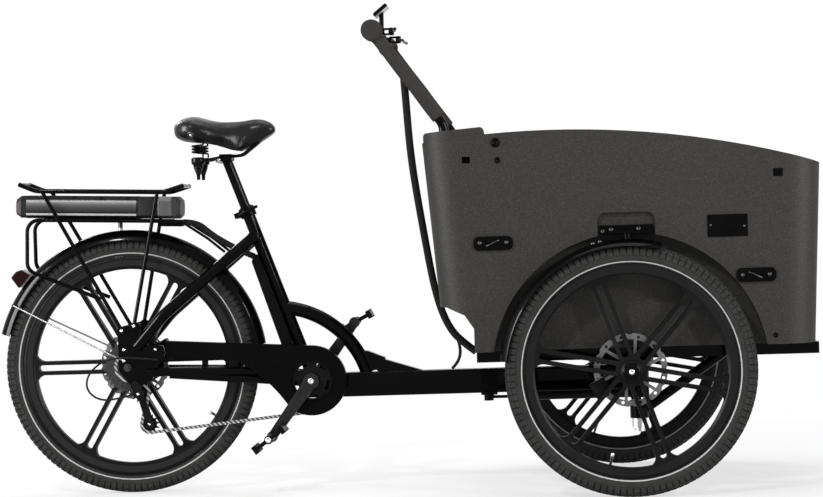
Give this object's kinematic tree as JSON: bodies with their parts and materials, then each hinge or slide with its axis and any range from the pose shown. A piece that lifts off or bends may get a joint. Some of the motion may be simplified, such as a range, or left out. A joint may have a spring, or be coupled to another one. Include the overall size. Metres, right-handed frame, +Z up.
{
  "type": "cargo tricycle",
  "caption": "Electric cargo tricycle with a swivelling front carriage that carries a moulded load box between cast wheels, chain drive to the rear wheel and a rack battery.",
  "frame": {"origin": "on the ground, under the middle of the overall length, in the centre plane", "axes": "+X forward (longest extent), +Y to the rider's left, +Z up"},
  "size_m": [2.0982, 0.866, 1.2446],
  "materials": {
    "frame_black": "gloss",
    "box_plastic": "speckled moulded",
    "black_plastic": "satin",
    "cast_grey": "satin",
    "tyre_black": "moulded",
    "steel": "bright",
    "dark_alloy": "anodised",
    "battery_alloy": "satin",
    "saddle_leather": "grained",
    "black_rubber": "matt",
    "lamp_red": "gloss"
  },
  "bodies": {
    "rear_frame": {"main_tube": "frame_black", "seat_tube": "frame_black", "curved_tube": "frame_black", "rear_stays": "frame_black", "frame_lugs": "frame_black", "frame_bearings": "steel", "controller_case": "black_plastic", "chain_guard": "black_plastic", "rear_rack": "frame_black", "rack_legs": "frame_black", "battery_dock": "frame_black", "rear_mudguard": "black_plastic", "mudguard_stays": "frame_black", "tail_light": "lamp_red", "rear_axle": "steel", "derailleur": "dark_alloy", "chain": "steel", "rear_caliper": "dark_alloy", "seat_collar": "frame_black", "frame_cables": "black_rubber", "damper_rod": "frame_black"},
    "damper_body": {"damper_body": "dark_alloy"},
    "battery": {"battery_case": "battery_alloy", "battery_ends": "black_plastic"},
    "saddle": {"seatpost": "frame_black", "saddle_cover": "saddle_leather", "saddle_frame": "frame_black", "saddle_springs": "steel", "spring_boots": "black_rubber"},
    "seat_clamp_lever": {"seat_clamp_lever": "frame_black"},
    "rear_wheel": {"rear_tyre": "tyre_black", "rear_wheel": "cast_grey", "rear_rotor": "steel"},
    "cassette": {"cassette": "steel"},
    "crank": {"crank_spindle": "steel", "crank_arms": "dark_alloy", "chainring": "dark_alloy"},
    "pedal_right": {"pedal_right": "black_plastic"},
    "pedal_left": {"pedal_left": "black_plastic"},
    "guide_pulley": {"guide_pulley": "black_plastic"},
    "tension_pulley": {"tension_pulley": "black_plastic"},
    "front_carriage": {"front_frame": "frame_black", "kingpin": "steel", "cargo_box": "box_plastic", "front_fenders": "black_plastic", "fender_brackets": "frame_black", "front_calipers": "dark_alloy", "handlebar": "frame_black", "handlebar_cover": "black_rubber", "bar_controls": "black_plastic", "box_fittings": "black_plastic", "steering_cables": "black_rubber"},
    "front_wheel_right": {"front_tyre_right": "tyre_black", "front_wheel_right": "cast_grey", "front_rotor_right": "steel"},
    "front_wheel_left": {"front_tyre_left": "tyre_black", "front_wheel_left": "cast_grey", "front_rotor_left": "steel"},
    "brake_lever_right": {"brake_lever_right": "dark_alloy"},
    "brake_lever_left": {"brake_lever_left": "dark_alloy"}
  },
  "joints": [
    {"name": "steer", "type": "hinge", "parent": "rear_frame", "child": "front_carriage", "pos_m": [0.60415, 0, 0.3], "axis": [0, 0, 1], "range_deg": [-40, 40]},
    {"name": "rear_wheel_roll", "type": "hinge", "parent": "rear_frame", "child": "rear_wheel", "pos_m": [-0.70786, 0, 0.33], "axis": [0, 1, 0], "continuous": true},
    {"name": "front_wheel_right_roll", "type": "hinge", "parent": "front_carriage", "child": "front_wheel_right", "pos_m": [0.57215, -0.4, 0.306], "axis": [0, 1, 0], "continuous": true},
    {"name": "front_wheel_left_roll", "type": "hinge", "parent": "front_carriage", "child": "front_wheel_left", "pos_m": [0.57215, 0.4, 0.306], "axis": [0, 1, 0], "continuous": true},
    {"name": "crank_turn", "type": "hinge", "parent": "rear_frame", "child": "crank", "pos_m": [-0.23586, 0, 0.282], "axis": [0, 1, 0], "continuous": true, "deforming": ["chain"]},
    {"name": "cassette_turn", "type": "hinge", "parent": "rear_frame", "child": "cassette", "pos_m": [-0.70786, -0.05, 0.33], "axis": [0, 1, 0], "continuous": true},
    {"name": "guide_pulley_turn", "type": "hinge", "parent": "rear_frame", "child": "guide_pulley", "pos_m": [-0.68185, -0.052, 0.262], "axis": [0, 1, 0], "continuous": true},
    {"name": "tension_pulley_turn", "type": "hinge", "parent": "rear_frame", "child": "tension_pulley", "pos_m": [-0.65978, -0.052, 0.18095], "axis": [0, 1, 0], "continuous": true},
    {"name": "pedal_right_spin", "type": "hinge", "parent": "crank", "child": "pedal_right", "pos_m": [-0.34068, -0.13, 0.14187], "axis": [0, 1, 0], "continuous": true},
    {"name": "pedal_left_spin", "type": "hinge", "parent": "crank", "child": "pedal_left", "pos_m": [-0.13103, 0.13, 0.42213], "axis": [0, 1, 0], "continuous": true},
    {"name": "brake_right_squeeze", "type": "hinge", "parent": "front_carriage", "child": "brake_lever_right", "pos_m": [0.00314, -0.161, 1.164], "axis": [0, 0, -1], "range_deg": [0, 13], "stiffness_Nm_per_rad": 2},
    {"name": "brake_left_squeeze", "type": "hinge", "parent": "front_carriage", "child": "brake_lever_left", "pos_m": [0.00314, 0.161, 1.164], "axis": [0, 0, 1], "range_deg": [0, 13], "stiffness_Nm_per_rad": 2},
    {"name": "saddle_height", "type": "slide", "parent": "rear_frame", "child": "saddle", "axis": [-0.3404, 0, 0.9403], "range_m": [-0.05, 0.08]},
    {"name": "seat_clamp_open", "type": "hinge", "parent": "rear_frame", "child": "seat_clamp_lever", "pos_m": [-0.41809, -0.0283, 0.71191], "axis": [0.3404, 0, -0.9403], "range_deg": [0, 150]},
    {"name": "battery_out", "type": "slide", "parent": "rear_frame", "child": "battery", "axis": [-0.9993, 0, 0.0384], "range_m": [0, 0.4]},
    {"name": "damper_stroke", "type": "slide", "parent": "rear_frame", "child": "damper_body", "axis": [1, 0, 0], "range_m": [-0.035, 0.035]}
  ],
  "couplings": [
    {"joint": "cassette_turn", "follows": "crank_turn", "ratio": 2.2222},
    {"joint": "tension_pulley_turn", "follows": "crank_turn", "ratio": 3.6364},
    {"joint": "guide_pulley_turn", "follows": "crank_turn", "ratio": -3.6364},
    {"joint": "damper_stroke", "follows": "steer", "m_per_rad": 0.0501}
  ]
}
